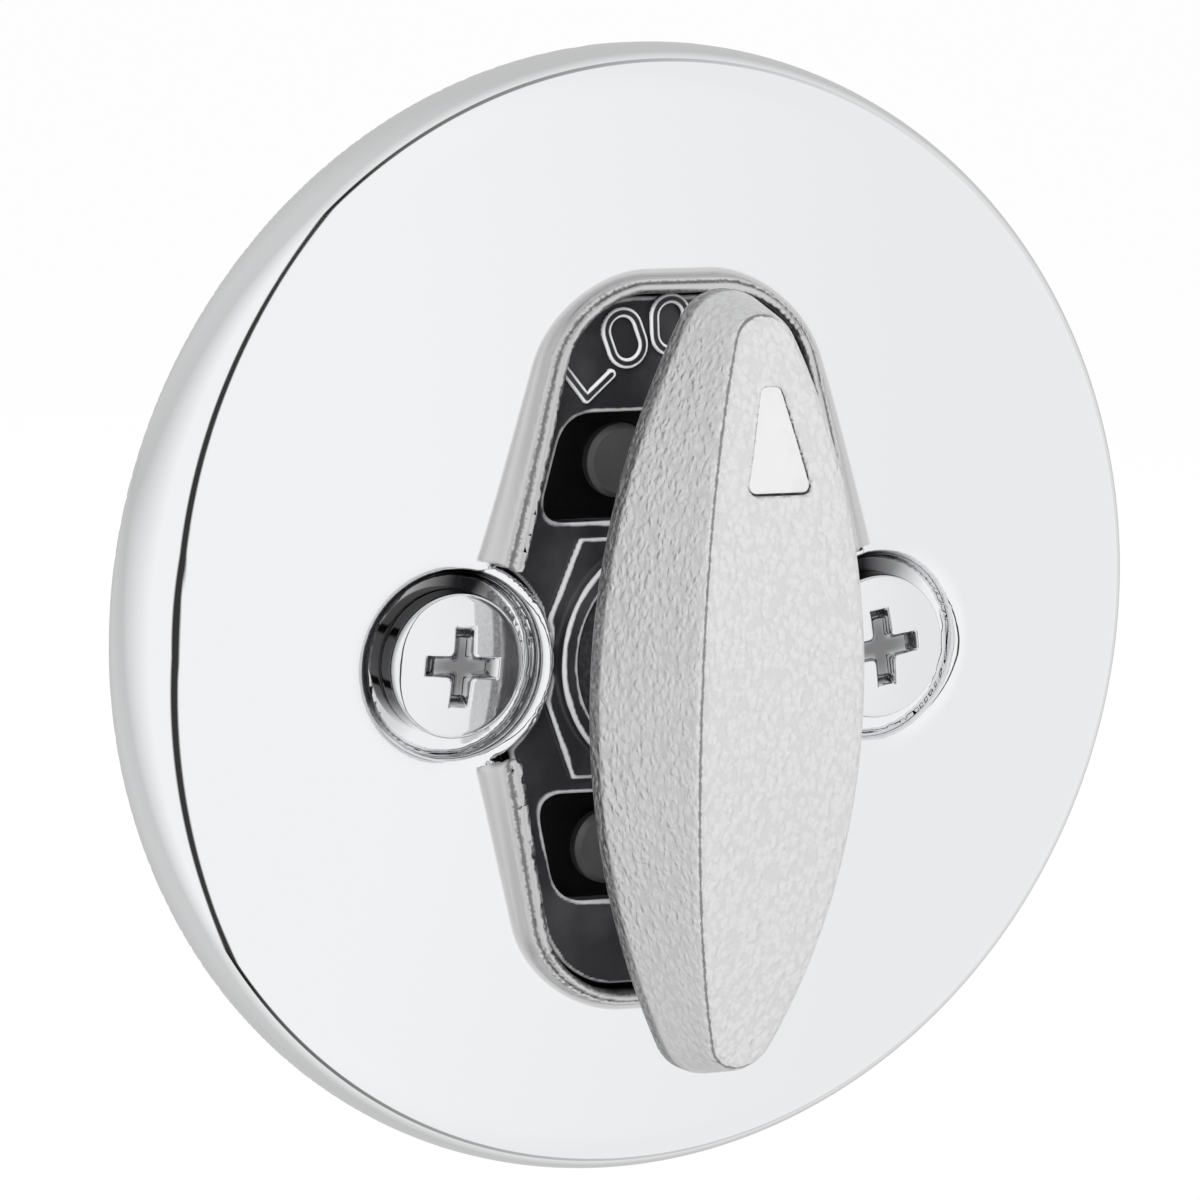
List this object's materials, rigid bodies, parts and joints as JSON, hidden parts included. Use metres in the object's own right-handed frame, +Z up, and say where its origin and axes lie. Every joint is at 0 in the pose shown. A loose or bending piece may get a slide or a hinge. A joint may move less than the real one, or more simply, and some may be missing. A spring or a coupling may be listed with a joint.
{
  "type": "deadbolt thumbturn assembly",
  "caption": "Inside half of a deadbolt: a round domed chrome rose with a crowned thumbturn on a spindle, a drive blade behind and mounting screws.",
  "frame": {"origin": "turn axis at the door's face, midway between the mounting screws", "axes": "+Y into the door along the turn axis, +Z up, front towards -Y"},
  "size_m": [0.067, 0.0721, 0.067],
  "materials": {
    "plated_cover": "polished chrome plate",
    "zinc_steel": "zinc-plated steel",
    "blackened_steel": "blackened steel",
    "dark_moulding": "dark satin",
    "bearing_plastic": "black bearing plastic",
    "plated_screw": "polished plate",
    "satin_casting": "satin plate over a grained casting",
    "spring_steel": "plain spring steel"
  },
  "bodies": {
    "base": {"rose": "plated_cover", "support_plate": "blackened_steel", "guide_plate": "dark_moulding", "stop_post_upper": "zinc_steel", "stop_post_lower": "zinc_steel", "hub_bushing": "bearing_plastic", "thrust_washer": "bearing_plastic", "screw_left": "plated_screw", "screw_right": "plated_screw"},
    "turn": {"turnpiece": "satin_casting", "stop_cam": "zinc_steel", "spring_washer": "spring_steel", "retaining_clip": "spring_steel", "tailpiece": "zinc_steel", "tailpiece_pin": "spring_steel"}
  },
  "joints": [
    {"name": "thumbturn", "type": "hinge", "parent": "base", "child": "turn", "pos_m": [0, 0, 0], "axis": [0, -1, 0], "range_deg": [-90, 0]}
  ]
}
